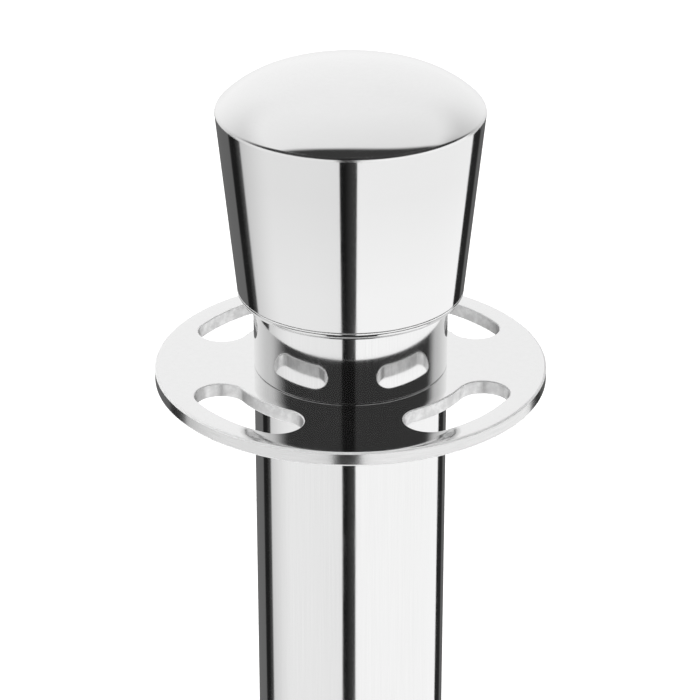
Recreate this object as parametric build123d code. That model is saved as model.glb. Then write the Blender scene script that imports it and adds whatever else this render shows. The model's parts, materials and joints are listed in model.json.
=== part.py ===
from build123d import *
import math
import os

# A free-standing rope barrier post: a round weighted base, a tube, a ring plate with four
# slots for rope hooks, and a screw-on head whose neck clamps the plate.
# Millimetres. +Z is up, and the origin is on the floor at the post's axis.

# Overall
overall_height = 1000.0
tube_radius = 25.4
tube_wall = 1.2
press_gap = 0.01  # left between pieces that are pressed or bonded together
running_gap = 0.05  # left between pieces that turn in each other

# Head, with heights counted from the top of the ring plate
dome_top = 81.7
crown_radius = 79.5  # of the dome's flatter middle
crown_reach = 22.9  # the crown ends at this distance from the axis
knuckle_radius = 26.2  # of the dome's outer part
rim_radius = 34.5
rim_rounding = 1.5
seam_height = 22.0
seam_radius = 29.55
seam_rounding = 0.15
cup_wall = 1.0
base_ring_turn = 2.5
base_ring_lip = 6.0
neck_clearance = 0.1
neck_edge_rounding = 0.25
neck_top = 32.0
neck_insert_height = 16.0

# Ring plate
plate_radius = 51.5
plate_thickness = 3.9
plate_edge_rounding = 0.5
plate_bore_radius = 10.0
slot_count = 4
slot_mid_radius = 39.05
slot_width = 13.3
slot_half_angle = 15.45  # from the slot's middle to the centre of its round end, in degrees
slot_edge_rounding = 0.3

# Thrust washer in the mouth of the neck
washer_thickness = 1.0
washer_clearance = 0.2

# M12 fasteners
thread_radius = 6.0
nut_across_flats = 18.0
nut_height = 10.0
bolt_head_height = 7.5
hex_chamfer_angle = 30.0
spring_washer_radius = 10.5
spring_washer_height = 2.5
spring_washer_split = 2.0
plain_washer_radius = 12.0
plain_washer_height = 2.5
stud_below_plate = 26.0
stud_above_nut = 2.5

# Inserts inside the tube
top_insert_height = 30.0
spigot_height = 3.5
bottom_insert_height = 30.0
insert_chamfer = 1.0
bolt_reach = 25.0

# Base
base_radius = 160.0
cover_sheet = 1.0
cover_lip_bottom = 6.0
cover_lip_top = 15.0
cover_dome_rise = 22.0
cover_rounding = 6.0
cover_hole_radius = tube_radius + 0.5
ring_outer_radius = base_radius + 0.5
ring_inner_radius = 138.0
ring_shelf_height = 5.0
ring_rib_top = 10.0
ring_rounding = 1.5
weight_radius = 148.0
weight_disc_top = 16.0
boss_foot_radius = 60.0
boss_top_radius = 34.0
boss_top = 35.0
recess_radius = 18.0
recess_top = 19.0
weight_rounding = 1.5
dowel_radius = 3.0
dowel_length = 20.0
dowel_offset = 15.0

# Collar round the foot of the tube
gasket_radius = 33.5
gasket_thickness = 1.0
collar_radius = 33.0
collar_height = 12.0
collar_top_radius = tube_radius + 2.2
collar_hollow = 1.5

# Levels worked out from the sizes above
plate_top = overall_height - dome_top
plate_bottom = plate_top - plate_thickness
cover_sphere = (base_radius**2 + cover_dome_rise**2) / (2 * cover_dome_rise)
cover_apex = cover_lip_top + cover_dome_rise


def spin(*outline):
    """A solid of revolution about Z from the closed outline's (radius, height) lines."""
    return revolve(Plane.XZ * make_face(outline), Axis.Z)


def turned(*points):
    """A solid of revolution about Z from a closed polygon of (radius, height) points."""
    return spin(*Polyline(*points, close=True).edges())


def tube(inner, outer, low, high):
    """A plain hollow cylinder."""
    return turned((inner, low), (outer, low), (outer, high), (inner, high))


def rounded(solid, radius, height, amount):
    """The solid with its circular edge of that radius and height rounded."""
    edges = [
        edge
        for edge in solid.edges().filter_by(GeomType.CIRCLE)
        if abs(edge.radius - radius) < 0.01 and abs(edge.center().Z - height) < 0.01
    ]
    return fillet(edges, amount)


def hex_prism(across_flats, low, height):
    """A hexagonal block standing on the level called low, with its corners turned off."""
    section = RegularPolygon(across_flats / 2, 6, major_radius=False)
    block = Pos(0, 0, low) * extrude(section, height)
    face = across_flats / 2
    corner = across_flats / math.sqrt(3)
    drop = (corner - face) * math.tan(math.radians(hex_chamfer_angle))
    high = low + height
    bar = turned(
        (0, low),
        (face, low),
        (corner, low + drop),
        (corner, high - drop),
        (face, high),
        (0, high),
    )
    return block & bar


def split_washer(low):
    """A spring washer with its slanting cut."""
    ring = tube(thread_radius + 0.2, spring_washer_radius, low, low + spring_washer_height)
    middle = (thread_radius + spring_washer_radius) / 2
    cut = Box(2 * spring_washer_radius, spring_washer_split, 4 * spring_washer_height)
    place = Pos(middle + thread_radius, 0, low + spring_washer_height / 2)
    return ring - place * Rot(30, 0, 0) * cut


def domed_cone(inset):
    """The solid that the cup's surface bounds, shrunk all over by the inset."""
    seam = plate_top + seam_height
    apex = overall_height - inset
    crown_angle = math.degrees(math.asin(crown_reach / crown_radius))
    knuckle_middle = crown_reach * (1 - knuckle_radius / crown_radius)
    knuckle_reach = (rim_radius - inset - knuckle_middle) / (knuckle_radius - inset)
    knuckle_angle = math.degrees(math.asin(knuckle_reach)) - crown_angle
    crown = JernArc((0, apex), (1, 0), crown_radius - inset, -crown_angle)
    knuckle = JernArc(crown @ 1, crown % 1, knuckle_radius - inset, -knuckle_angle)
    rest = Polyline(knuckle @ 1, (seam_radius - inset, seam), (0, seam), (0, apex))
    cone = spin(crown, knuckle, *rest.edges())
    return rounded(cone, rim_radius - inset, (knuckle @ 1).Y, rim_rounding - inset)


def head_cup():
    """The spun shell of the head: a flared side and a domed top in one sheet."""
    cup = domed_cone(0) - domed_cone(cup_wall)
    return rounded(cup, seam_radius, plate_top + seam_height, seam_rounding)


def head_base_ring():
    """The quarter-round ring that closes the cup's mouth and holds the neck."""
    seam = plate_top + seam_height
    underside = seam - base_ring_turn
    bore = tube_radius + press_gap
    lip = seam_radius - cup_wall - press_gap
    quarter = JernArc((seam_radius, seam), (0, -1), base_ring_turn, -90)
    rest = Polyline(
        quarter @ 1,
        (bore, underside),
        (bore, seam + base_ring_lip),
        (lip, seam + base_ring_lip),
        (lip, seam),
        (seam_radius, seam),
    )
    return rounded(spin(quarter, *rest.edges()), seam_radius, seam, seam_rounding)


def neck_tube():
    """The short tube between the ring plate and the head, as wide as the post."""
    low = plate_top + neck_clearance
    neck = tube(tube_radius - tube_wall, tube_radius, low, plate_top + neck_top)
    return rounded(neck, tube_radius, low, neck_edge_rounding)


def neck_insert():
    """The tapped plug pressed into the lower end of the neck."""
    low = plate_top + washer_thickness
    outer = tube_radius - tube_wall - press_gap
    return tube(thread_radius + press_gap, outer, low, plate_top + neck_insert_height)


def head_stud():
    """The M12 stud that screws the head down into the post."""
    low = plate_bottom - stud_below_plate
    high = plate_top + neck_insert_height + spring_washer_height + nut_height + stud_above_nut
    stud = turned((0, low), (thread_radius, low), (thread_radius, high), (0, high))
    stud = rounded(stud, thread_radius, low, insert_chamfer)
    return rounded(stud, thread_radius, high, insert_chamfer)


def stud_spring_washer():
    return split_washer(plate_top + neck_insert_height)


def stud_lock_nut():
    low = plate_top + neck_insert_height + spring_washer_height
    bore = Pos(0, 0, low) * extrude(Circle(thread_radius + press_gap), nut_height)
    return hex_prism(nut_across_flats, low, nut_height) - bore


def thrust_washer():
    """The washer that stays on the stud, in the mouth of the neck, and bears on the plate."""
    inner = thread_radius + washer_clearance
    outer = tube_radius - tube_wall - washer_clearance
    return tube(inner, outer, plate_top, plate_top + washer_thickness)


def kidney_slot():
    """The outline of one slot: a band bent round the plate's centre, with round ends."""
    path = CenterArc((0, 0), slot_mid_radius, -slot_half_angle, 2 * slot_half_angle)
    return SlotArc(path, slot_width)


def ring_plate():
    """The flat plate with a slot on each side for a rope's hook."""
    disc = Circle(plate_radius) - Circle(plate_bore_radius)
    plate = Pos(0, 0, plate_bottom) * extrude(disc, plate_thickness)
    for level in (plate_bottom, plate_top):
        plate = rounded(plate, plate_radius, level, plate_edge_rounding)
    cutter = Pos(0, 0, plate_bottom - 1) * extrude(kidney_slot(), plate_thickness + 2)
    for number in range(slot_count):
        plate -= Rot(0, 0, number * 360 / slot_count) * cutter
    reach = slot_mid_radius + slot_width
    rims = [
        edge
        for edge in plate.edges()
        if plate_bore_radius + 1 < Vector(edge.center().X, edge.center().Y, 0).length < reach
        and abs(edge.center().Z - plate_bottom - plate_thickness / 2) > plate_thickness / 2 - 0.01
        and edge.radius < plate_radius - 2 * plate_edge_rounding
        and abs(edge.radius - plate_bore_radius) > 0.01
    ]
    return fillet(rims, slot_edge_rounding)


def post_tube():
    return tube(tube_radius - tube_wall, tube_radius, boss_top, plate_bottom)


def post_top_insert():
    """The plug in the top of the tube: its spigot centres the plate, its bore takes the stud."""
    outer = tube_radius - tube_wall - press_gap
    spigot = plate_bore_radius - running_gap
    bore = thread_radius + running_gap
    low = plate_bottom - top_insert_height
    return turned(
        (bore, low),
        (outer - insert_chamfer, low),
        (outer, low + insert_chamfer),
        (outer, plate_bottom),
        (spigot, plate_bottom),
        (spigot, plate_bottom + spigot_height),
        (bore, plate_bottom + spigot_height),
    )


def dowel_places():
    return [Pos(side * dowel_offset, 0, boss_top - dowel_length / 2) for side in (-1, 1)]


def dowel_holes():
    hole = extrude(Circle(dowel_radius + press_gap), dowel_length)
    return [place * hole for place in dowel_places()]


def post_bottom_insert():
    """The plug in the foot of the tube that the base bolt screws into."""
    outer = tube_radius - tube_wall - press_gap
    high = boss_top + bottom_insert_height
    plug = turned(
        (thread_radius + press_gap, boss_top),
        (outer, boss_top),
        (outer, high - insert_chamfer),
        (outer - insert_chamfer, high),
        (thread_radius + press_gap, high),
    )
    for hole in dowel_holes():
        plug -= hole
    return plug


def foot_dowels():
    """Two pins that stop the post from turning on the base."""
    pin = extrude(Circle(dowel_radius), dowel_length)
    pins = [place * chamfer(pin.edges(), dowel_radius / 6) for place in dowel_places()]
    return Compound([solid for each in pins for solid in each.solids()])


def cover_level(radius):
    """The height of the cover's top surface at a radius."""
    return cover_apex - cover_sphere + math.sqrt(cover_sphere**2 - radius**2)


def shallow_dome(inset):
    """The solid that the cover's surface bounds, shrunk all over by the inset."""
    radius = base_radius - inset
    sphere = cover_sphere - inset
    apex = cover_apex - inset
    dome = JernArc((0, apex), (1, 0), sphere, -math.degrees(math.asin(radius / sphere)))
    rest = Polyline(dome @ 1, (radius, cover_lip_bottom), (0, cover_lip_bottom), (0, apex))
    return rounded(spin(dome, *rest.edges()), radius, (dome @ 1).Y, cover_rounding - inset)


def base_cover():
    """The shallow polished dome over the weight, with a short upright lip."""
    hole = extrude(Circle(cover_hole_radius), cover_apex + 1)
    return shallow_dome(0) - shallow_dome(cover_sheet) - hole


def base_weight():
    """The cast weight: a disc with a conical boss that carries the post."""
    weight = turned(
        (thread_radius + 0.6, recess_top),
        (recess_radius, recess_top),
        (recess_radius, ring_shelf_height),
        (weight_radius, ring_shelf_height),
        (weight_radius, weight_disc_top),
        (boss_foot_radius, weight_disc_top),
        (boss_top_radius, boss_top),
        (thread_radius + 0.6, boss_top),
    )
    for level in (ring_shelf_height, weight_disc_top):
        weight = rounded(weight, weight_radius, level, weight_rounding)
    for hole in dowel_holes():
        weight -= hole
    return weight


def base_rubber_ring():
    """The rubber ring that the stanchion stands on; it grips the weight and the cover's lip."""
    cover_inside = base_radius - cover_sheet - press_gap
    weight_side = weight_radius + press_gap
    ring = turned(
        (ring_inner_radius, 0),
        (ring_outer_radius, 0),
        (ring_outer_radius, cover_lip_bottom),
        (cover_inside, cover_lip_bottom),
        (cover_inside, ring_rib_top),
        (weight_side, ring_rib_top),
        (weight_side, ring_shelf_height),
        (ring_inner_radius, ring_shelf_height),
    )
    return rounded(ring, ring_outer_radius, 0, ring_rounding)


def base_plain_washer():
    low = recess_top - plain_washer_height
    return tube(thread_radius + 0.5, plain_washer_radius, low, recess_top)


def base_spring_washer():
    return split_washer(recess_top - plain_washer_height - spring_washer_height)


def base_bolt():
    """The M12 bolt that pulls the post down on to the base from underneath."""
    shoulder = recess_top - plain_washer_height - spring_washer_height
    head = hex_prism(nut_across_flats, shoulder - bolt_head_height, bolt_head_height)
    tip = boss_top + bolt_reach
    shank = turned(
        (0, shoulder),
        (thread_radius, shoulder),
        (thread_radius, tip - insert_chamfer),
        (thread_radius - insert_chamfer, tip),
        (0, tip),
    )
    return head + shank


def foot_gasket():
    """The thin rubber washer between the collar and the cover."""
    inner = tube_radius + running_gap
    high = cover_level(inner) + gasket_thickness
    return turned(
        (inner, cover_level(inner) + 2 * press_gap),
        (gasket_radius, cover_level(gasket_radius) + 2 * press_gap),
        (gasket_radius, high),
        (inner, high),
    )


def foot_collar():
    """The polished ring that finishes the joint between the tube and the cover."""
    inner = tube_radius + press_gap
    low = cover_level(tube_radius + running_gap) + gasket_thickness
    high = low + collar_height
    shoulder = low + collar_height / 3
    sweep = SagittaArc((collar_top_radius, high), (collar_radius, shoulder), -collar_hollow)
    rest = Polyline(
        (collar_radius, shoulder), (collar_radius, low), (inner, low), (inner, high), sweep @ 0
    )
    return spin(sweep, *rest.edges())


makers = [
    head_cup,
    head_base_ring,
    neck_tube,
    neck_insert,
    head_stud,
    stud_spring_washer,
    stud_lock_nut,
    thrust_washer,
    ring_plate,
    post_tube,
    post_top_insert,
    post_bottom_insert,
    foot_dowels,
    foot_gasket,
    foot_collar,
    base_cover,
    base_weight,
    base_rubber_ring,
    base_plain_washer,
    base_spring_washer,
    base_bolt,
]

os.makedirs("parts", exist_ok=True)
for make in makers:
    export_step(make(), f"parts/{make.__name__}.step")
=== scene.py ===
import json
import math
from functools import partial

import bmesh
import bpy
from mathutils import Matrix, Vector
from mathutils.geometry import tessellate_polygon

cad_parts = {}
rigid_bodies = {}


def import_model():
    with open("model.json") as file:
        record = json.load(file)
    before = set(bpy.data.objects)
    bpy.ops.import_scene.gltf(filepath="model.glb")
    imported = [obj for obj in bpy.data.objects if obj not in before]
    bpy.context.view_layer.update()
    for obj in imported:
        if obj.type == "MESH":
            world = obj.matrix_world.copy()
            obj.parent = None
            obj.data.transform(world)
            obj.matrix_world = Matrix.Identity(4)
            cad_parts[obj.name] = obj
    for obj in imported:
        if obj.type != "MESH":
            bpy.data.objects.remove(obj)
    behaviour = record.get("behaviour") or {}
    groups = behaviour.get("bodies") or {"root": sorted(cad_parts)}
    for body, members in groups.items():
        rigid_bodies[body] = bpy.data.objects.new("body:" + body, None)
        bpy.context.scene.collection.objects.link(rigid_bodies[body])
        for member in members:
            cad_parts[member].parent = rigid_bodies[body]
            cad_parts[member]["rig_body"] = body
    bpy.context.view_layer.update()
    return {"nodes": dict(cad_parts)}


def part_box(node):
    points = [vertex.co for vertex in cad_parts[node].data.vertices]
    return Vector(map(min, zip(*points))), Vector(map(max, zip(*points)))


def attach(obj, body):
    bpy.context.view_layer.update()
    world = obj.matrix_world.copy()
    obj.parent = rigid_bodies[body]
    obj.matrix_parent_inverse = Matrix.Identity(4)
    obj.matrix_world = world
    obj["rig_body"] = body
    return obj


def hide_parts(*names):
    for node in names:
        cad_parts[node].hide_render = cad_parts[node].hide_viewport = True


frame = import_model()
MM = 0.001

# ---------------------------------------------------------------- camera
CAMERA_TURN = math.radians(43.7)
CAMERA_RISE = math.radians(26.09)
CAMERA_DISTANCE = 0.7516
AIM_ABOVE_PLATE = 3.11 * MM
FOCAL_LENGTH = 146.93  # on a 36 mm sensor
FRAME_SHIFT = -0.0008

plate_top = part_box("ring_plate")[1].z


def make_camera():
    data = bpy.data.cameras.new("camera")
    data.lens = FOCAL_LENGTH
    data.shift_x = FRAME_SHIFT
    data.clip_start = 0.01
    data.clip_end = 100
    camera = bpy.data.objects.new("camera", data)
    bpy.context.scene.collection.objects.link(camera)
    back = Vector((
        math.sin(CAMERA_TURN) * math.cos(CAMERA_RISE),
        -math.cos(CAMERA_TURN) * math.cos(CAMERA_RISE),
        math.sin(CAMERA_RISE),
    ))
    camera.location = Vector((0, 0, plate_top + AIM_ABOVE_PLATE)) + back * CAMERA_DISTANCE
    camera.rotation_mode = "QUATERNION"
    camera.rotation_quaternion = (-back).to_track_quat("-Z", "Y")
    bpy.context.scene.camera = camera
    bpy.context.scene.view_settings.view_transform = "Standard"


make_camera()


# ---------------------------------------------------------------- node helpers
def is_socket(value):
    return isinstance(value, bpy.types.NodeSocket)


NOISE_LOW = 0.3
NOISE_HIGH = 0.7


class Nodes:
    """Short calls for building a node tree."""

    def __init__(self, tree):
        self.tree = tree
        self.tree.nodes.clear()

    def add(self, kind, **settings):
        node = self.tree.nodes.new(kind)
        for name, value in settings.items():
            setattr(node, name, value)
        return node

    def feed(self, socket, value):
        if is_socket(value):
            self.tree.links.new(value, socket)
        else:
            socket.default_value = value

    def math(self, operation, *values):
        node = self.add("ShaderNodeMath", operation=operation)
        for socket, value in zip(node.inputs, values):
            self.feed(socket, value)
        return node.outputs[0]

    def dot(self, first, second):
        node = self.add("ShaderNodeVectorMath", operation="DOT_PRODUCT")
        self.feed(node.inputs[0], first)
        self.feed(node.inputs[1], second)
        return node.outputs["Value"]

    def fit(self, value, low, high, to_low=0.0, to_high=1.0, kind="SMOOTHSTEP"):
        """The value's place between low and high, carried over to another range."""
        node = self.add("ShaderNodeMapRange", interpolation_type=kind)
        self.feed(node.inputs["Value"], value)
        self.feed(node.inputs["From Min"], low)
        self.feed(node.inputs["From Max"], high)
        self.feed(node.inputs["To Min"], to_low)
        self.feed(node.inputs["To Max"], to_high)
        return node.outputs["Result"]

    def spread(self, noise, to_low=0.0, to_high=1.0):
        """A noise's usual range, carried over to another range."""
        return self.fit(noise, NOISE_LOW, NOISE_HIGH, to_low, to_high)

    def step(self, value, middle, soft):
        """0 below the middle and 1 above it, with a smooth edge soft wide."""
        return self.fit(value, middle - soft / 2, middle + soft / 2)

    def bands(self, value, strength, *changes):
        """A strength that changes along the value.

        A change is its place, how soft it is there, and the strength after it.
        """
        for middle, soft, after in changes:
            strength = self.blend(self.step(value, middle, soft), strength, after)
        return strength

    def blend(self, factor, first, second):
        """The first number where the factor is 0, and the second where it is 1."""
        node = self.add("ShaderNodeMix", data_type="FLOAT")
        self.feed(node.inputs[0], factor)
        self.feed(node.inputs[2], first)
        self.feed(node.inputs[3], second)
        return node.outputs[0]

    def colours(self, factor, first, second):
        """A colour between two, by the factor."""
        node = self.add("ShaderNodeMix", data_type="RGBA")
        self.feed(node.inputs[0], factor)
        self.feed(node.inputs[6], (*first, 1))
        self.feed(node.inputs[7], (*second, 1))
        return node.outputs[2]

    def place(self, stretch=(1, 1, 1)):
        """The point on the object in millimetres, stretched along its axes."""
        node = self.add("ShaderNodeMapping")
        self.feed(node.inputs["Vector"], self.add("ShaderNodeTexCoord").outputs["Object"])
        node.inputs["Scale"].default_value = [each / MM for each in stretch]
        return node.outputs["Vector"]

    def noise(self, vector, scale, detail=3.0, rough=0.5):
        node = self.add("ShaderNodeTexNoise")
        self.feed(node.inputs["Vector"], vector)
        node.inputs["Scale"].default_value = scale
        node.inputs["Detail"].default_value = detail
        node.inputs["Roughness"].default_value = rough
        return node.outputs["Fac"]

    def bump(self, height, strength, depth):
        """The height makes a relief, with its depth in millimetres."""
        node = self.add("ShaderNodeBump")
        self.feed(node.inputs["Height"], height)
        node.inputs["Strength"].default_value = strength
        node.inputs["Distance"].default_value = depth * MM
        return node.outputs["Normal"]


def new_material(name):
    material = bpy.data.materials.new(name)
    material.use_nodes = True
    n = Nodes(material.node_tree)
    shader = n.add("ShaderNodeBsdfPrincipled")
    output = n.add("ShaderNodeOutputMaterial")
    n.feed(output.inputs["Surface"], shader.outputs[0])
    return material, n, shader


# ---------------------------------------------------------------- studio
# The studio is fixed round the object. Its directions are counted in degrees from the place
# where the camera stands: the turn is positive to the camera's right, the rise is above level.
STUDIO_FRONT = (math.sin(CAMERA_TURN), -math.cos(CAMERA_TURN), 0)
STUDIO_RIGHT = (math.cos(CAMERA_TURN), math.sin(CAMERA_TURN), 0)

BACKDROP = 1.15
BLACK = 0.011
DARK_ROOM = 0.045

# Low down, going round from the left of the back to the right of it. A row is the turn where something
# starts, how soft its edge is there, and its strength, which is left out where it varies.
BACK_LEFT = 0.15
DARK_LEFT_EDGE = (-131, 3)
BOARD_LEFT_EDGE = (-112.5, 3)
BOARD_LEFT_FAR = 0.66
BOARD_LEFT_MIDDLE = (-100, 50, 0.965)
BOARD_LEFT_NEAR = (-25, 50, 0.94)
GAP_EDGE = (-9.8, 1)
BOARD_RIGHT = (5.9, 0.8, 1.09)
DARK_RIGHT = (132, 2, 0.022)
BACK_RIGHT = (150, 6, 0.13)

# A strength that varies evenly, as its two turns and the strengths there
DARK_LEFT_SLOPE = (-121, -114, 0.014, 0.08)
GAP_SLOPE = (-5, 5, BLACK, 0.065)

# The rise where the low things end, beside the camera and further round, and how soft their top is
LOW_TOP = 8.0
LOW_TOP_BEHIND = (115, 4, -18.5)
LOW_TOP_SOFT = 3
OPEN_BACK_EDGE = (175, 3)

# Higher up, the dark room in front is black over the gap, up to a rise
ROOM_BLACK = (-10.2, 2, BLACK)
ROOM_AGAIN = (5.5, 2, DARK_ROOM)
ROOM_ABOVE = (36, 6, DARK_ROOM)

# A curtain hangs between the room and a bright tent behind it, along a bent line across the way to the
# camera. Below the first of the two rises its foot is thin, and lets light through.
CURTAIN = (0.22, 0.07)
CURTAIN_BEND = 0.29
CURTAIN_BEND_RIGHT = 0.62
CURTAIN_RISES = (30, 48)
FOOT_FAINT = (-0.9, 0.0)
FOOT_DENSE = (-0.1, 0.4)
FOOT_DENSE_SHARE = 0.7
TENT = 0.92
TENT_TOWARDS_FRONT = -0.11
TENT_TOWARDS_RIGHT = -0.05
TENT_BELOW = 0.86
TENT_BELOW_RISES = (-22, 5)


def low_light(n, turn):
    """Light boards on both sides of a black gap, and dark sides behind them."""
    left = n.bands(turn, BOARD_LEFT_FAR, BOARD_LEFT_MIDDLE, BOARD_LEFT_NEAR)
    dark_left = n.fit(turn, *DARK_LEFT_SLOPE, "LINEAR")
    gap = n.fit(turn, *GAP_SLOPE, "LINEAR")
    return n.bands(
        turn,
        BACK_LEFT,
        (*DARK_LEFT_EDGE, dark_left),
        (*BOARD_LEFT_EDGE, left),
        (*GAP_EDGE, gap),
        BOARD_RIGHT,
        DARK_RIGHT,
        BACK_RIGHT,
    )


def tent_light(n, front, right, rise):
    tent = n.math("MULTIPLY", front, TENT_TOWARDS_FRONT)
    tent = n.math("ADD", tent, n.math("MULTIPLY", right, TENT_TOWARDS_RIGHT))
    tent = n.math("ADD", tent, TENT)
    return n.blend(n.fit(rise, *TENT_BELOW_RISES), TENT_BELOW, tent)


def high_light(n, front, right, turn, rise, tent):
    """The dark room in front of the curtain, and the tent behind it."""
    square = n.math("MULTIPLY", right, right)
    fourth = n.math("POWER", n.math("MAXIMUM", right, 0.0), 4.0)
    bend = n.math("MULTIPLY", square, CURTAIN_BEND)
    bend = n.math("ADD", bend, n.math("MULTIPLY", fourth, CURTAIN_BEND_RIGHT))
    ahead = n.math("ADD", bend, front)
    foot = n.blend(FOOT_DENSE_SHARE, n.fit(ahead, *FOOT_FAINT), n.fit(ahead, *FOOT_DENSE))
    curtain = n.blend(n.fit(rise, *CURTAIN_RISES), foot, n.step(ahead, *CURTAIN))
    room = n.bands(turn, DARK_ROOM, ROOM_BLACK, ROOM_AGAIN)
    room = n.bands(rise, room, ROOM_ABOVE)
    return n.blend(curtain, tent, room)


def make_studio():
    world = bpy.data.worlds.new("studio")
    bpy.context.scene.world = world
    world.use_nodes = True
    n = Nodes(world.node_tree)
    way = n.add("ShaderNodeTexCoord").outputs["Generated"]
    front = n.dot(way, STUDIO_FRONT)
    right = n.dot(way, STUDIO_RIGHT)
    turn = n.math("DEGREES", n.math("ARCTAN2", right, front))
    rise = n.math("DEGREES", n.math("ARCSINE", n.dot(way, (0, 0, 1))))
    aside = n.math("ABSOLUTE", turn)

    low = low_light(n, turn)
    tent = tent_light(n, front, right, rise)
    high = high_light(n, front, right, turn, rise, tent)
    top = n.bands(aside, LOW_TOP, LOW_TOP_BEHIND)
    light = n.bands(n.math("SUBTRACT", rise, top), low, (0, LOW_TOP_SOFT, high))
    light = n.bands(aside, light, (*OPEN_BACK_EDGE, tent))
    seen = n.blend(n.add("ShaderNodeLightPath").outputs["Is Camera Ray"], light, BACKDROP)
    surface = n.add("ShaderNodeBackground")
    surface.inputs["Color"].default_value = (1, 1, 1, 1)
    n.feed(surface.inputs["Strength"], seen)
    output = n.add("ShaderNodeOutputWorld")
    n.feed(output.inputs["Surface"], surface.outputs[0])


FLOOR_RADIUS = 40


def make_floor():
    mesh = bpy.data.meshes.new("floor")
    shape = bmesh.new()
    bmesh.ops.create_circle(shape, cap_ends=True, segments=128, radius=FLOOR_RADIUS)
    shape.to_mesh(mesh)
    shape.free()
    floor = bpy.data.objects.new("floor", mesh)
    bpy.context.scene.collection.objects.link(floor)
    floor.visible_glossy = False
    material, _, shader = new_material("floor")
    shader.inputs["Base Color"].default_value = (0.85, 0.85, 0.85, 1)
    shader.inputs["Roughness"].default_value = 0.8
    shader.inputs["Emission Color"].default_value = (1, 1, 1, 1)
    shader.inputs["Emission Strength"].default_value = 0.35
    mesh.materials.append(material)


def make_overhead_light():
    data = bpy.data.lights.new("overhead", "SUN")
    data.energy = 2.0
    data.angle = math.radians(50)
    sun = bpy.data.objects.new("overhead", data)
    sun.rotation_euler = (math.radians(18), math.radians(-12), 0)
    sun.visible_glossy = False
    bpy.context.scene.collection.objects.link(sun)


make_studio()
make_floor()
make_overhead_light()


# ---------------------------------------------------------------- materials
UPRIGHT_GRAIN = (3, 3, 0.02)
ROUND_GRAIN = (0.35, 0.35, 4)
EVEN_GRAIN = (1, 1, 1)
# Painted shade: the head's side colour gets a little darker upwards, between these two heights over the
# plate
SIDE_PAINTED_SHADE = (plate_top / MM + 31.7, plate_top / MM + 59.7, 0.92)


def steel(name, grain, rough, tone=0.82, streaks=0.015, scratch=0.25, fade=None, metal=1.0):
    """Stainless steel. The grain is how the noise is stretched along X, Y and Z.

    The painted shade gives two heights in millimetres, and how bright the colour still is at the upper:
    painted shade that darkens the colour upwards.
    """
    material, n, shader = new_material(name)
    shader.inputs["Metallic"].default_value = metal
    lines = n.noise(n.place(grain), scale=1.6, detail=4, rough=0.6)
    clouds = n.noise(n.place(), scale=0.06, detail=2)
    light = (tone + streaks,) * 3
    dark = (tone - streaks,) * 3
    colour = n.colours(n.spread(lines), dark, light)
    # Painted shade: the colour is scaled down with height, darker upwards
    if fade:
        foot, top, dimmed = fade
        split = n.add("ShaderNodeSeparateXYZ")
        n.feed(split.inputs[0], n.place())
        scale = n.add("ShaderNodeVectorMath", operation="SCALE")
        n.feed(scale.inputs[0], colour)
        n.feed(scale.inputs["Scale"], n.fit(split.outputs["Z"], foot, top, 1.0, dimmed, "LINEAR"))
        colour = scale.outputs[0]
    n.feed(shader.inputs["Base Color"], colour)
    varied = n.math("MULTIPLY_ADD", lines, rough, rough * 0.4)
    n.feed(shader.inputs["Roughness"], n.math("MULTIPLY", varied, n.spread(clouds, 0.8, 1.2)))
    n.feed(shader.inputs["Normal"], n.bump(lines, scratch, 0.002))
    return material


def satin_steel():
    """The cut edges of the plate: linished, with the cutter's fine upright lines."""
    material, n, shader = new_material("satin_steel")
    shader.inputs["Metallic"].default_value = 1.0
    blotches = n.noise(n.place(), scale=0.45, detail=4, rough=0.65)
    lines = n.noise(n.place((6, 6, 0.6)), scale=1.0, detail=3)
    n.feed(shader.inputs["Base Color"], n.colours(n.fit(blotches, 0.35, 0.7), (0.74,) * 3, (0.88,) * 3))
    n.feed(shader.inputs["Roughness"], n.spread(blotches, 0.46, 0.36))
    n.feed(shader.inputs["Normal"], n.bump(lines, 0.2, 0.012))
    return material


def rim_steel():
    """The plate's outer edge: turned and only lightly polished."""
    material, n, shader = new_material("rim_steel")
    shader.inputs["Metallic"].default_value = 1.0
    rings = n.noise(n.place((0.15, 0.15, 8)), scale=1.2, detail=3)
    blotches = n.noise(n.place(), scale=0.12, detail=3)
    n.feed(shader.inputs["Base Color"], n.colours(n.spread(rings), (0.70,) * 3, (0.77,) * 3))
    n.feed(shader.inputs["Roughness"], n.spread(blotches, 0.14, 0.20))
    n.feed(shader.inputs["Normal"], n.bump(rings, 0.2, 0.01))
    return material


def plain_metal(name, colour, rough, grain, depth):
    """Turned or plated steel on the pieces inside."""
    material, n, shader = new_material(name)
    shader.inputs["Metallic"].default_value = 1.0
    marks = n.noise(n.place(grain), scale=1.0, detail=3)
    darker = tuple(each * 0.85 for each in colour)
    n.feed(shader.inputs["Base Color"], n.colours(n.spread(marks), darker, colour))
    n.feed(shader.inputs["Roughness"], n.spread(marks, rough * 0.8, rough * 1.25))
    n.feed(shader.inputs["Normal"], n.bump(marks, 0.4, depth))
    return material


def dull(name, colour, rough, scale, depth, dust):
    """Rubber, nylon and painted iron: a dark matt surface with a fine grain and a little dust."""
    material, n, shader = new_material(name)
    grain = n.noise(n.place(), scale, detail=4, rough=0.6)
    clouds = n.noise(n.place(), scale=0.05, detail=3)
    dusty = tuple(each + dust for each in colour)
    n.feed(shader.inputs["Base Color"], n.colours(n.fit(clouds, 0.45, 0.75), colour, dusty))
    n.feed(shader.inputs["Roughness"], n.spread(grain, rough * 0.9, rough * 1.1))
    n.feed(shader.inputs["Normal"], n.bump(grain, 0.5, depth))
    return material


spun_steel = partial(steel, grain=ROUND_GRAIN, streaks=0.006, scratch=0.12)

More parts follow.
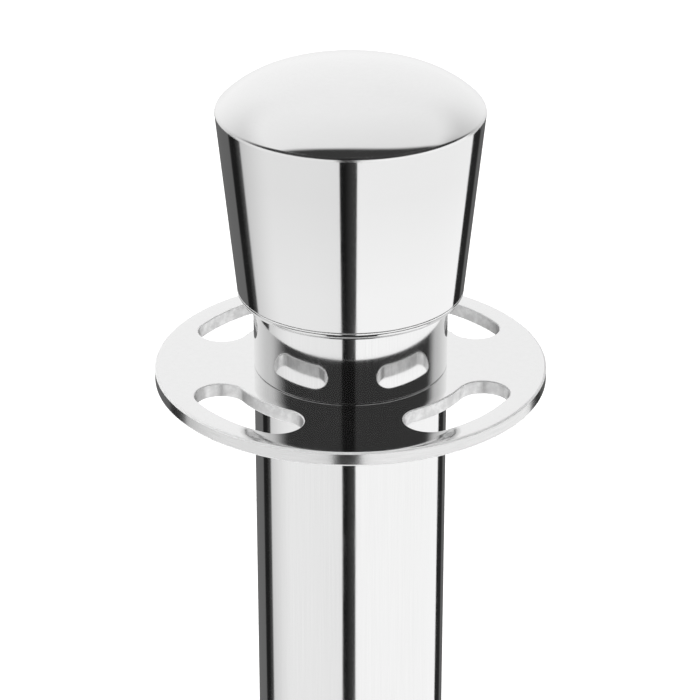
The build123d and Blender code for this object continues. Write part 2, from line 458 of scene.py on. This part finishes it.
UPRIGHT = steel("polished_upright", UPRIGHT_GRAIN, rough=0.09)
NECK = steel("brushed_neck", UPRIGHT_GRAIN, rough=0.08, streaks=0.02, scratch=0.3)
SPUN = spun_steel("polished_spun", rough=0.085)
# The head's side carries painted shade, darker upwards
SIDE = spun_steel("polished_side", rough=0.085, fade=SIDE_PAINTED_SHADE)
ROLLED = spun_steel("rolled_rim", rough=0.24)
EDGE = steel("worn_edge", EVEN_GRAIN, rough=0.85, tone=0.93, metal=0.4)
SATIN = satin_steel()
RIM = rim_steel()
TURNED = plain_metal("turned_steel", (0.62, 0.62, 0.61), rough=0.28, grain=(0.3, 0.3, 6), depth=0.01)
ZINC = plain_metal("zinc_steel", (0.68, 0.70, 0.72), rough=0.3, grain=(1.2, 1.2, 1.2), depth=0.006)
RUBBER = dull("rubber", (0.022, 0.022, 0.023), rough=0.62, scale=1.8, depth=0.03, dust=0.012)
NYLON = dull("nylon", (0.04, 0.04, 0.042), rough=0.48, scale=3.0, depth=0.01, dust=0.006)
IRON = dull("cast_iron", (0.05, 0.05, 0.053), rough=0.6, scale=0.7, depth=0.12, dust=0.02)


# ---------------------------------------------------------------- lathe work
TINY = 1e-7


class Outline:
    """The closed outline of a turned piece, as (radius, height, normal) points in metres.

    It runs with the solid on its left: up the outside, in across the top, down the inside.
    """

    def __init__(self, radius, height, material):
        self.at = (radius, height)
        self.parts = []
        self.material = material

    def use(self, material):
        """The following faces take this material."""
        self.material = material
        return self

    def line(self, radius, height, steps=1):
        r0, z0 = self.at
        length = math.hypot(radius - r0, height - z0)
        normal = ((height - z0) / length, (r0 - radius) / length)
        points = []
        for i in range(steps + 1):
            t = i / steps
            points.append((r0 + t * (radius - r0), z0 + t * (height - z0), *normal))
        self.parts.append((points, self.material))
        self.at = (radius, height)
        return self

    def jump(self, radius, height):
        """Goes on from another point on the axis, from a skin's outer face to its inner face."""
        self.at = (radius, height)
        return self

    def arc(self, middle_radius, middle_height, start, end, steps):
        """An arc about a middle, between two angles in degrees above level."""
        r0, z0 = self.at
        size = math.hypot(r0 - middle_radius, z0 - middle_height)
        side = 1 if end > start else -1
        points = []
        for i in range(steps + 1):
            angle = math.radians(start + (end - start) * i / steps)
            c, s = math.cos(angle), math.sin(angle)
            points.append((middle_radius + size * c, middle_height + size * s, side * c, side * s))
        self.parts.append((points, self.material))
        self.at = points[-1][:2]
        return self


def shape_object(name, positions, faces, normals, face_materials):
    """An object from vertices, faces, a normal for each corner of each face, and each face's material."""
    mesh = bpy.data.meshes.new(name)
    mesh.from_pydata(positions, [], faces)
    materials = list(dict.fromkeys(face_materials))
    for material in materials:
        mesh.materials.append(material)
    mesh.polygons.foreach_set("use_smooth", [True] * len(faces))
    mesh.polygons.foreach_set("material_index", [materials.index(each) for each in face_materials])
    mesh.update()
    mesh.normals_split_custom_set(normals)
    piece = bpy.data.objects.new(name, mesh)
    bpy.context.scene.collection.objects.link(piece)
    return piece


def lathe(name, outline, turns=256):
    """The outline turned about Z."""
    rings = []
    strips = []
    for points, material in outline.parts:
        if not rings or math.dist(rings[-1], points[0][:2]) > TINY:
            rings.append(points[0][:2])
        for first, second in zip(points, points[1:]):
            strips.append((len(rings) - 1, first, second, material))
            rings.append(second[:2])
    if math.dist(rings[0], rings[-1]) < TINY:
        rings.pop()
    positions = []
    starts = []
    for radius, height in rings:
        starts.append(len(positions))
        if radius < TINY:
            positions.append((0, 0, height))
            continue
        for k in range(turns):
            angle = 2 * math.pi * k / turns
            positions.append((radius * math.cos(angle), radius * math.sin(angle), height))

    def corner(ring, k):
        ring %= len(rings)
        return starts[ring] + (0 if rings[ring][0] < TINY else k % turns)

    def normal(point, k):
        angle = 2 * math.pi * k / turns
        return (point[2] * math.cos(angle), point[2] * math.sin(angle), point[3])

    faces = []
    normals = []
    face_materials = []
    for i, low, high, material in strips:
        for k in range(turns):
            wanted = [(i, low, k), (i, low, k + 1), (i + 1, high, k + 1), (i + 1, high, k)]
            face = []
            for ring, point, at in wanted:
                vertex = corner(ring, at)
                if vertex not in face:
                    face.append(vertex)
                    normals.append(normal(point, at + 0.5 if point[0] < TINY else at))
            faces.append(tuple(face))
            face_materials.append(material)
    return shape_object(name, positions, faces, normals, face_materials)


def finish_piece(piece, node):
    """The piece stands for the CAD node and moves with its body."""
    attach(piece, frame["nodes"][node]["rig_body"])
    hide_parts(node)


TUBE_WALL = 1.2 * MM
TUBE_EDGE_ROUNDING = 0.05 * MM
NECK_FOOT_ROUNDING = 0.25 * MM


def plain_tube(node, low_round, material, steps):
    """A straight tube of the node's size with rounded outer edges."""
    low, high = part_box(node)
    outer = high.x
    inner = outer - TUBE_WALL
    high_round = TUBE_EDGE_ROUNDING
    outline = Outline(inner, low.z, material)
    outline.line(outer - low_round, low.z)
    outline.arc(outer - low_round, low.z + low_round, -90, 0, steps=6)
    outline.line(outer, high.z - high_round, steps)
    outline.arc(outer - high_round, high.z - high_round, 0, 90, steps=6)
    outline.line(inner, high.z)
    outline.line(inner, low.z)
    finish_piece(lathe(node + "_tube", outline), node)


# ---------------------------------------------------------------- head
def corner_arc(arc_middle, arc_radius, low, high, size):
    """The small arc that rounds the corner between a line, low to high, and an arc above it.

    It gives the small arc's middle, and the angles where it leaves the line and joins the arc.
    """
    length = math.dist(low, high)
    normal = ((high[1] - low[1]) / length, (low[0] - high[0]) / length)
    beyond = (arc_middle[0] - low[0]) * normal[0] + (arc_middle[1] - low[1]) * normal[1]
    lean = math.degrees(math.atan2(normal[1], normal[0]))
    swing = math.degrees(math.acos((-size - beyond) / (arc_radius - size)))
    join = lean + swing
    reach = arc_radius - size
    middle = (
        arc_middle[0] + reach * math.cos(math.radians(join)),
        arc_middle[1] + reach * math.sin(math.radians(join)),
    )
    return middle, lean, join


CROWN_RADIUS = 79.5 * MM
CROWN_REACH = 22.9 * MM
KNUCKLE_RADIUS = 26.2 * MM
RIM_RADIUS = 34.5 * MM
RIM_ROUNDING = 1.5 * MM
SEAM_RADIUS = 29.55 * MM
SEAM_ROUNDING = 0.3 * MM
CUP_WALL = 1.0 * MM
BASE_RING_TURN = 2.5 * MM
BASE_RING_END = -2
BASE_RING_LIP = 6.0 * MM


def head_cup():
    """The spun cup: a flared side, a rounded rim and a domed top, in one sheet."""
    low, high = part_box("head_cup")
    seam, apex = low.z, high.z
    crown_turn = math.asin(CROWN_REACH / CROWN_RADIUS)
    crown_middle = (0, apex - CROWN_RADIUS)
    inward = CROWN_RADIUS - KNUCKLE_RADIUS
    knuckle_middle = (
        inward * math.sin(crown_turn),
        crown_middle[1] + inward * math.cos(crown_turn),
    )
    up_to = 90 - math.degrees(crown_turn)

    def rim(inset):
        """The side line's two ends and the rim's rounding, for the sheet's face at that depth."""
        reach = RIM_RADIUS - inset - knuckle_middle[0]
        radius = KNUCKLE_RADIUS - inset
        top = (RIM_RADIUS - inset, knuckle_middle[1] + math.sqrt(radius ** 2 - reach ** 2))
        foot = (SEAM_RADIUS - inset, seam)
        return foot, corner_arc(knuckle_middle, radius, foot, top, RIM_ROUNDING - inset)

    _, (outer_middle, lean, join) = rim(0)
    inner_foot, (inner_middle, inner_lean, inner_join) = rim(CUP_WALL)
    slant = math.radians(lean)
    side_top = (
        outer_middle[0] + RIM_ROUNDING * math.cos(slant),
        outer_middle[1] + RIM_ROUNDING * math.sin(slant),
    )
    outline = Outline(*inner_foot, SPUN)
    outline.line(SEAM_RADIUS - SEAM_ROUNDING, seam)
    outline.arc(SEAM_RADIUS - SEAM_ROUNDING, seam + SEAM_ROUNDING, -90, lean, steps=8)
    outline.use(SIDE).line(*side_top, steps=24)
    outline.use(ROLLED).arc(*outer_middle, lean, join, steps=16)
    outline.use(SPUN).arc(*knuckle_middle, join, up_to, steps=32)
    outline.arc(*crown_middle, up_to, 90, steps=24)
    outline.jump(0, apex - CUP_WALL)
    outline.arc(*crown_middle, 90, up_to, steps=12)
    outline.arc(*knuckle_middle, up_to, inner_join, steps=16)
    outline.arc(*inner_middle, inner_join, inner_lean, steps=8)
    outline.line(*inner_foot)
    finish_piece(lathe("head_cup_shell", outline), "head_cup")


def head_base_ring():
    """The quarter-round ring under the cup."""
    low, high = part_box("head_base_ring")
    seam = high.z - BASE_RING_LIP
    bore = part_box("neck_tube")[1].x
    lip = SEAM_RADIUS - CUP_WALL
    round_middle = SEAM_RADIUS - BASE_RING_TURN
    slant = math.radians(BASE_RING_END)
    rounding = -BASE_RING_TURN * math.sin(slant) / (1 - math.sin(slant))
    edge_middle = round_middle + (BASE_RING_TURN - rounding) * math.cos(slant)
    outline = Outline(bore, low.z, SPUN)
    outline.line(round_middle, low.z)
    outline.arc(round_middle, low.z + BASE_RING_TURN, -90, BASE_RING_END, steps=20)
    outline.use(EDGE).arc(edge_middle, seam - rounding, BASE_RING_END, 90, steps=8)
    outline.use(SPUN).line(lip, seam)
    outline.line(lip, high.z)
    outline.line(bore, high.z)
    outline.line(bore, low.z)
    finish_piece(lathe("head_base_ring_round", outline), "head_base_ring")


THREAD_PITCH = 1.75 * MM
THREAD_DEPTH = 0.92 * MM
THREAD_LEAD_IN = 1.1 * MM
HALF_CREST = 0.0625  # of the pitch
FLANK = 0.34  # of the pitch
ROWS_IN_PITCH = 12
STUD_COLUMNS = 48
STUD_SHARP_EDGE = math.radians(40)


def head_stud():
    """The stud with its real M12 thread, cut as a helix."""
    low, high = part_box("head_stud")
    crest = high.x
    rows = round((high.z - low.z) / THREAD_PITCH * ROWS_IN_PITCH)
    shape = bmesh.new()
    rings = []
    for i in range(rows + 1):
        height = low.z + (high.z - low.z) * i / rows
        from_end = min(height - low.z, high.z - height)
        most = crest - max(0, THREAD_LEAD_IN - from_end)
        ring = []
        for k in range(STUD_COLUMNS):
            angle = 2 * math.pi * k / STUD_COLUMNS
            phase = (height / THREAD_PITCH - k / STUD_COLUMNS) % 1
            sunk = min(1, max(0, (abs(phase - 0.5) - HALF_CREST) / FLANK))
            radius = min(most, crest - THREAD_DEPTH * sunk)
            place = (radius * math.cos(angle), radius * math.sin(angle), height)
            ring.append(shape.verts.new(place))
        rings.append(ring)
    for lower, upper in zip(rings, rings[1:]):
        for k in range(STUD_COLUMNS):
            after = (k + 1) % STUD_COLUMNS
            shape.faces.new((lower[k], lower[after], upper[after], upper[k]))
    shape.faces.new(reversed(rings[0]))
    shape.faces.new(rings[-1])
    mesh = bpy.data.meshes.new("head_stud_thread")
    shape.to_mesh(mesh)
    shape.free()
    mesh.materials.append(ZINC)
    mesh.polygons.foreach_set("use_smooth", [True] * len(mesh.polygons))
    mesh.set_sharp_from_angle(angle=STUD_SHARP_EDGE)
    piece = bpy.data.objects.new("head_stud_thread", mesh)
    bpy.context.scene.collection.objects.link(piece)
    finish_piece(piece, "head_stud")


# ---------------------------------------------------------------- ring plate
PLATE_EDGE_ROUNDING = 0.5 * MM
PLATE_BORE_RADIUS = 10.0 * MM
BORE_EDGE_ROUNDING = 0.05 * MM
SLOT_COUNT = 4
SLOT_MID_RADIUS = 39.05 * MM
SLOT_WIDTH = 13.3 * MM
SLOT_HALF_ANGLE = math.radians(15.45)
SLOT_EDGE_ROUNDING = 0.3 * MM
# How wide a face falls away towards an edge, and how steep it gets, in degrees
PLATE_FALL = (2.2 * MM, 3.0)
SLOT_FALL = (2.0 * MM, 3.0)
NO_FALL = (0.0, 0.0)
FALL_STEPS = 8
ROUNDING_STEPS = 8
CIRCLE_STEPS = 512
BORE_STEPS = 96
SLOT_STEPS = 40


def circle_loop(radius, count):
    """Points round a circle, each with the direction away from the axis."""
    loop = []
    for k in range(count):
        angle = 2 * math.pi * k / count
        away = Vector((math.cos(angle), math.sin(angle), 0))
        loop.append((away * radius, away))
    return loop


def slot_loop(number, grown):
    """Points round one slot, each with the direction into the metal."""
    half = SLOT_WIDTH / 2
    turn = 2 * math.pi * number / SLOT_COUNT
    loop = []

    def along(radius, start, end, side):
        for i in range(SLOT_STEPS):
            angle = start + (end - start) * i / SLOT_STEPS
            away = Vector((math.cos(angle), math.sin(angle), 0))
            loop.append((away * (radius + side * grown), away * side))

    def cap(angle, start):
        middle = Vector((math.cos(angle), math.sin(angle), 0)) * SLOT_MID_RADIUS
        for i in range(SLOT_STEPS):
            at = start + math.pi * i / SLOT_STEPS
            away = Vector((math.cos(at), math.sin(at), 0))
            loop.append((middle + away * (half + grown), away))

    first = turn - SLOT_HALF_ANGLE
    last = turn + SLOT_HALF_ANGLE
    along(SLOT_MID_RADIUS + half, first, last, 1)
    cap(last, last)
    along(SLOT_MID_RADIUS - half, last, first, -1)
    cap(first, first + math.pi)
    return loop


def half_profile(rounding, fall):
    """From the flat face out to the middle of the side, as (inset, depth, lean in degrees).

    The polisher's wheel makes the face fall away gently before the edge's rounding.
    """
    width, steepest = fall
    slope = math.radians(steepest)
    reach = rounding * (1 - math.sin(slope))
    drop = width * slope / 2
    half = []
    for i in range(FALL_STEPS if width else 0):
        t = i / FALL_STEPS
        half.append((reach + width * (1 - t), drop * t * t, 90 - steepest * t))
    for i in range(ROUNDING_STEPS + 1):
        lean = (90 - steepest) * (1 - i / ROUNDING_STEPS)
        inset = rounding * (1 - math.cos(math.radians(lean)))
        depth = drop + rounding * (math.cos(slope) - math.sin(math.radians(lean)))
        half.append((inset, depth, lean))
    return half


def ring_plate():
    """The flat plate with its four slots: polished faces, satin slot walls."""
    low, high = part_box("ring_plate")
    radius = high.x
    positions = []
    faces = []
    normals = []
    face_materials = []

    def add_loop(loop, height):
        start = len(positions)
        positions.extend((point.x, point.y, height) for point, away in loop)
        return start

    def wall(make_loop, rounding, fall, outward, side_material):
        """The side of the plate along one loop. It gives the loops on the two flat faces."""
        half = half_profile(rounding, fall)
        profile = [(inset, high.z - depth, lean) for inset, depth, lean in half]
        profile += [(inset, low.z + depth, -lean) for inset, depth, lean in reversed(half)]
        rows = []
        for inset, height, lean in profile:
            loop = make_loop(inset)
            start = add_loop(loop, height)
            angle = math.radians(lean)
            tilt = []
            for point, away in loop:
                side = away * outward * math.cos(angle)
                tilt.append((side.x, side.y, math.sin(angle)))
            rows.append((start, tilt))
        count = len(rows[0][1])
        falling = len(half) - ROUNDING_STEPS - 1
        for i, ((upper, upper_tilt), (lower, lower_tilt)) in enumerate(zip(rows, rows[1:])):
            from_face = min(i, len(rows) - 2 - i)
            material = SPUN if from_face < falling else EDGE
            if i == len(half) - 1:
                material = side_material
            for k in range(count):
                after = (k + 1) % count
                face = [lower + k, lower + after, upper + after, upper + k]
                tilt = [lower_tilt[k], lower_tilt[after], upper_tilt[after], upper_tilt[k]]
                if outward < 0:
                    face.reverse()
                    tilt.reverse()
                faces.append(face)
                normals.extend(tilt)
                face_materials.append(material)
        return rows[0][0], rows[-1][0], count

    def outer_edge(inset):
        return circle_loop(radius - inset, CIRCLE_STEPS)

    def bore_edge(inset):
        return circle_loop(PLATE_BORE_RADIUS + inset, BORE_STEPS)

    loops = [wall(outer_edge, PLATE_EDGE_ROUNDING, PLATE_FALL, 1, RIM)]
    for number in range(SLOT_COUNT):
        slot_edge = partial(slot_loop, number)
        loops.append(wall(slot_edge, SLOT_EDGE_ROUNDING, SLOT_FALL, -1, SATIN))
    loops.append(wall(bore_edge, BORE_EDGE_ROUNDING, NO_FALL, -1, SATIN))
    for level, up in ((0, 1), (1, -1)):
        numbers = []
        rings = []
        for loop in loops:
            numbers.extend(range(loop[level], loop[level] + loop[2]))
            rings.append([Vector(positions[loop[level] + k]) for k in range(loop[2])])
        for triangle in tessellate_polygon(rings):
            face = [numbers[i] for i in triangle]
            a, b, c = (Vector(positions[i]) for i in face)
            if (b - a).cross(c - a).z * up < 0:
                face.reverse()
            faces.append(face)
            normals.extend([(0, 0, up)] * 3)
            face_materials.append(SPUN)
    piece = shape_object("ring_plate_slotted", positions, faces, normals, face_materials)
    finish_piece(piece, "ring_plate")


# ---------------------------------------------------------------- base
COLLAR_TOP_OUT = 2.2 * MM
COLLAR_HOLLOW = 1.5 * MM
COLLAR_FOOT_SHARE = 1 / 3
COVER_RISE = 22.0 * MM
COVER_SHEET = 1.0 * MM
COVER_ROUNDING = 6.0 * MM
COVER_HOLE_GAP = 0.5 * MM
BASE_TURNS = 384


def foot_collar():
    """The ring round the foot of the tube, with a hollow sweep."""
    low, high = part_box("foot_collar")
    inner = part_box("post_tube")[1].x
    shoulder = low.z + (high.z - low.z) * COLLAR_FOOT_SHARE
    start = (high.x, shoulder)
    end = (inner + COLLAR_TOP_OUT, high.z)
    chord = math.dist(start, end)
    radius = (chord ** 2 / 4 + COLLAR_HOLLOW ** 2) / (2 * COLLAR_HOLLOW)
    along = ((end[0] - start[0]) / chord, (end[1] - start[1]) / chord)
    reach = radius - COLLAR_HOLLOW
    middle = (
        (start[0] + end[0]) / 2 + along[1] * reach,
        (start[1] + end[1]) / 2 - along[0] * reach,
    )
    first = math.degrees(math.atan2(start[1] - middle[1], start[0] - middle[0])) % 360
    last = math.degrees(math.atan2(end[1] - middle[1], end[0] - middle[0])) % 360
    outline = Outline(inner, low.z, SPUN)
    outline.line(high.x, low.z)
    outline.line(*start)
    outline.arc(*middle, first, last, steps=20)
    outline.line(inner, high.z)
    outline.line(inner, low.z)
    finish_piece(lathe("foot_collar_ring", outline), "foot_collar")


def base_cover():
    """The shallow dome over the weight, with a rounded shoulder and an upright lip."""
    low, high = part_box("base_cover")
    radius = high.x
    sphere = (radius ** 2 + COVER_RISE ** 2) / (2 * COVER_RISE)
    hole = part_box("post_tube")[1].x + COVER_HOLE_GAP
    middle = (0, high.z - math.sqrt(sphere ** 2 - hole ** 2))
    shoulder = radius - COVER_ROUNDING
    round_middle = (shoulder, middle[1] + math.sqrt((sphere - COVER_ROUNDING) ** 2 - shoulder ** 2))
    join = math.degrees(math.atan2(round_middle[1] - middle[1], shoulder))
    inner = sphere - COVER_SHEET
    outer_end = math.degrees(math.acos(hole / sphere))
    inner_end = math.degrees(math.acos(hole / inner))
    outline = Outline(radius - COVER_SHEET, low.z, SPUN)
    outline.line(radius, low.z)
    outline.line(radius, round_middle[1])
    outline.arc(*round_middle, 0, join, steps=14)
    outline.arc(*middle, join, outer_end, steps=48)
    outline.line(hole, middle[1] + math.sqrt(inner ** 2 - hole ** 2))
    outline.arc(*middle, inner_end, join, steps=24)
    outline.arc(*round_middle, join, 0, steps=8)
    outline.line(radius - COVER_SHEET, low.z)
    finish_piece(lathe("base_cover_dome", outline, turns=BASE_TURNS), "base_cover")


RING_WIDTH = 22.5 * MM
RING_FACE = 6.0 * MM
RING_SHELF = 5.0 * MM
RING_ROUNDING = 1.5 * MM
RIB_GAP = 0.01 * MM
FOOT_GROOVE = 1.2 * MM


def base_rubber_ring():
    """The rubber foot ring, with two grooves round its underside."""
    low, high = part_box("base_rubber_ring")
    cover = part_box("base_cover")[1].x - COVER_SHEET - RIB_GAP
    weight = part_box("base_weight")[1].x + RIB_GAP
    outer = high.x
    inner = outer - RING_WIDTH
    outline = Outline(inner, low.z, RUBBER)
    for third in (1, 2):
        middle = inner + RING_WIDTH * third / 3
        outline.line(middle - FOOT_GROOVE, low.z)
        outline.arc(middle, low.z, 180, 0, steps=8)
    outline.line(outer - RING_ROUNDING, low.z)
    outline.arc(outer - RING_ROUNDING, low.z + RING_ROUNDING, -90, 0, steps=8)
    outline.line(outer, low.z + RING_FACE)
    outline.line(cover, low.z + RING_FACE)
    outline.line(cover, high.z)
    outline.line(weight, high.z)
    outline.line(weight, low.z + RING_SHELF)
    outline.line(inner, low.z + RING_SHELF)
    outline.line(inner, low.z)
    finish_piece(lathe("base_rubber_ring_foot", outline, turns=BASE_TURNS), "base_rubber_ring")


head_cup()
head_base_ring()
plain_tube("neck_tube", NECK_FOOT_ROUNDING, NECK, steps=4)
plain_tube("post_tube", TUBE_EDGE_ROUNDING, UPRIGHT, steps=60)
head_stud()
ring_plate()
foot_collar()
base_cover()
base_rubber_ring()

for node, material in (
    ("neck_insert", TURNED),
    ("post_top_insert", TURNED),
    ("post_bottom_insert", TURNED),
    ("stud_spring_washer", ZINC),
    ("stud_lock_nut", ZINC),
    ("foot_dowels", ZINC),
    ("base_plain_washer", ZINC),
    ("base_spring_washer", ZINC),
    ("base_bolt", ZINC),
    ("thrust_washer", NYLON),
    ("foot_gasket", RUBBER),
    ("base_weight", IRON),
):
    mesh = frame["nodes"][node].data
    mesh.materials.clear()
    mesh.materials.append(material)
